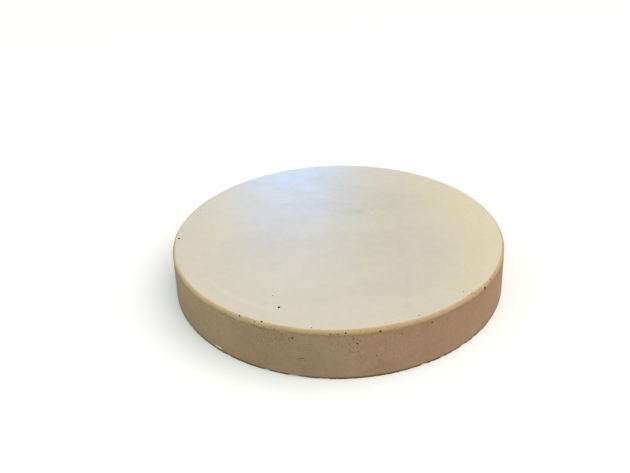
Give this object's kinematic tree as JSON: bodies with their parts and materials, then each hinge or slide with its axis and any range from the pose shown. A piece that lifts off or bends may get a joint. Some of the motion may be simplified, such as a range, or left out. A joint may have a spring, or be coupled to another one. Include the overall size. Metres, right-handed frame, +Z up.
{
  "type": "plaster mold",
  "caption": "Round flat plaster slab mold for pottery, with a smooth working face, a scraped bevelled rim and a slightly flared wall.",
  "frame": {"origin": "centre of the flat underside that the mold rests on", "axes": "+Z up, out of the working face and along the axis of the disc; X and Y lie in the underside and are equal, because the disc is round"},
  "size_m": [0.312, 0.312, 0.0416],
  "materials": {
    "plaster_face": "smooth matte cast plaster, yellower on the scraped bevel",
    "scrim": "open woven jute, soaked in plaster",
    "plaster_back": "matte cast plaster, stained tan, with a rough struck-off edge"
  },
  "bodies": {
    "root": {"face_pour": "plaster_face", "reinforcing_scrim": "scrim", "back_pour": "plaster_back"}
  },
  "joints": []
}
